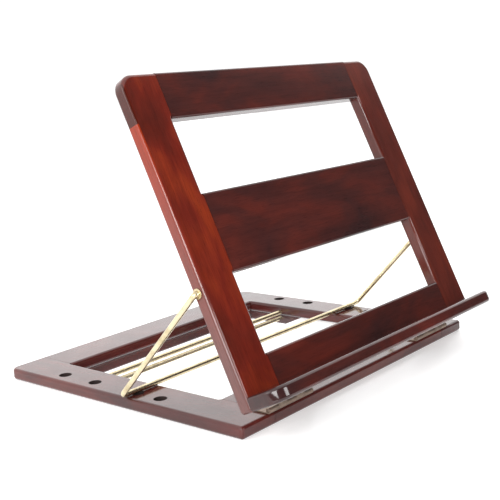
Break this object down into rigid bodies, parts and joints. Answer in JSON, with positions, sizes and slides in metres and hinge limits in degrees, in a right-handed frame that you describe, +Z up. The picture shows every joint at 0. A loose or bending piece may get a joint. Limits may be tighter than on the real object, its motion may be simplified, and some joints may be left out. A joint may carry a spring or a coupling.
{
  "type": "bible stand",
  "caption": "Folding tabletop stand for a bible: a windowed wooden easel with a ledge, hinged to a flat frame and held up by a brass wire bail.",
  "frame": {"origin": "middle of the object's footprint, on the surface that it stands on", "axes": "+X to the right of someone reading from the stand, +Y from the front edge to the back, +Z up"},
  "size_m": [0.3682, 0.3392, 0.285],
  "materials": {
    "stile_wood": "red mahogany under clear gloss lacquer",
    "rail_wood": "red mahogany under clear gloss lacquer, the grain across",
    "base_wood": "red mahogany under clear gloss lacquer",
    "dowel_wood": "plain beech",
    "wire_brass": "polished brass wire, lightly tarnished",
    "hinge_brass": "dull antique brass",
    "steel": "plain zinc-plated steel"
  },
  "bodies": {
    "base": {"base_left_rail": "base_wood", "base_right_rail": "base_wood", "base_front_rail": "base_wood", "base_rear_rail": "base_wood", "base_cross_rod": "wire_brass", "base_dowel_front_left_1": "dowel_wood", "base_dowel_front_left_2": "dowel_wood", "base_dowel_front_right_1": "dowel_wood", "base_dowel_front_right_2": "dowel_wood", "base_dowel_rear_left_1": "dowel_wood", "base_dowel_rear_left_2": "dowel_wood", "base_dowel_rear_right_1": "dowel_wood", "base_dowel_rear_right_2": "dowel_wood", "hinge_left_base_leaf": "hinge_brass", "hinge_left_pin": "hinge_brass", "hinge_left_base_screw_1": "hinge_brass", "hinge_left_base_screw_2": "hinge_brass", "hinge_left_base_screw_3": "hinge_brass", "hinge_right_base_leaf": "hinge_brass", "hinge_right_pin": "hinge_brass", "hinge_right_base_screw_1": "hinge_brass", "hinge_right_base_screw_2": "hinge_brass", "hinge_right_base_screw_3": "hinge_brass"},
    "easel": {"easel_left_stile": "stile_wood", "easel_right_stile": "stile_wood", "easel_bottom_rail": "rail_wood", "easel_middle_rail": "rail_wood", "easel_top_rail": "rail_wood", "ledge": "stile_wood", "easel_dowel_bottom_left_1": "dowel_wood", "easel_dowel_bottom_left_2": "dowel_wood", "easel_dowel_bottom_right_1": "dowel_wood", "easel_dowel_bottom_right_2": "dowel_wood", "easel_dowel_middle_left_1": "dowel_wood", "easel_dowel_middle_left_2": "dowel_wood", "easel_dowel_middle_right_1": "dowel_wood", "easel_dowel_middle_right_2": "dowel_wood", "easel_dowel_top_left_1": "dowel_wood", "easel_dowel_top_left_2": "dowel_wood", "easel_dowel_top_right_1": "dowel_wood", "easel_dowel_top_right_2": "dowel_wood", "ledge_screw_1": "steel", "ledge_screw_2": "steel", "ledge_screw_3": "steel", "ledge_screw_4": "steel", "hinge_left_easel_leaf": "hinge_brass", "bail_bush_left": "wire_brass", "hinge_left_easel_screw_1": "hinge_brass", "hinge_left_easel_screw_2": "hinge_brass", "hinge_left_easel_screw_3": "hinge_brass", "hinge_right_easel_leaf": "hinge_brass", "bail_bush_right": "wire_brass", "hinge_right_easel_screw_1": "hinge_brass", "hinge_right_easel_screw_2": "hinge_brass", "hinge_right_easel_screw_3": "hinge_brass"},
    "bail": {"bail_wire": "wire_brass"}
  },
  "joints": [
    {"name": "easel_fold", "type": "hinge", "parent": "base", "child": "easel", "pos_m": [0, -0.12992, 0.0138], "axis": [1, 0, 0], "range_deg": [-65.5, 0]},
    {"name": "bail_swing", "type": "hinge", "parent": "easel", "child": "bail", "pos_m": [0, -0.09393, 0.114], "axis": [1, 0, 0], "range_deg": [0, 108.5]}
  ],
  "couplings": [
    {"joint": "bail_swing", "follows": "easel_fold", "ratio": -1.6481}
  ]
}
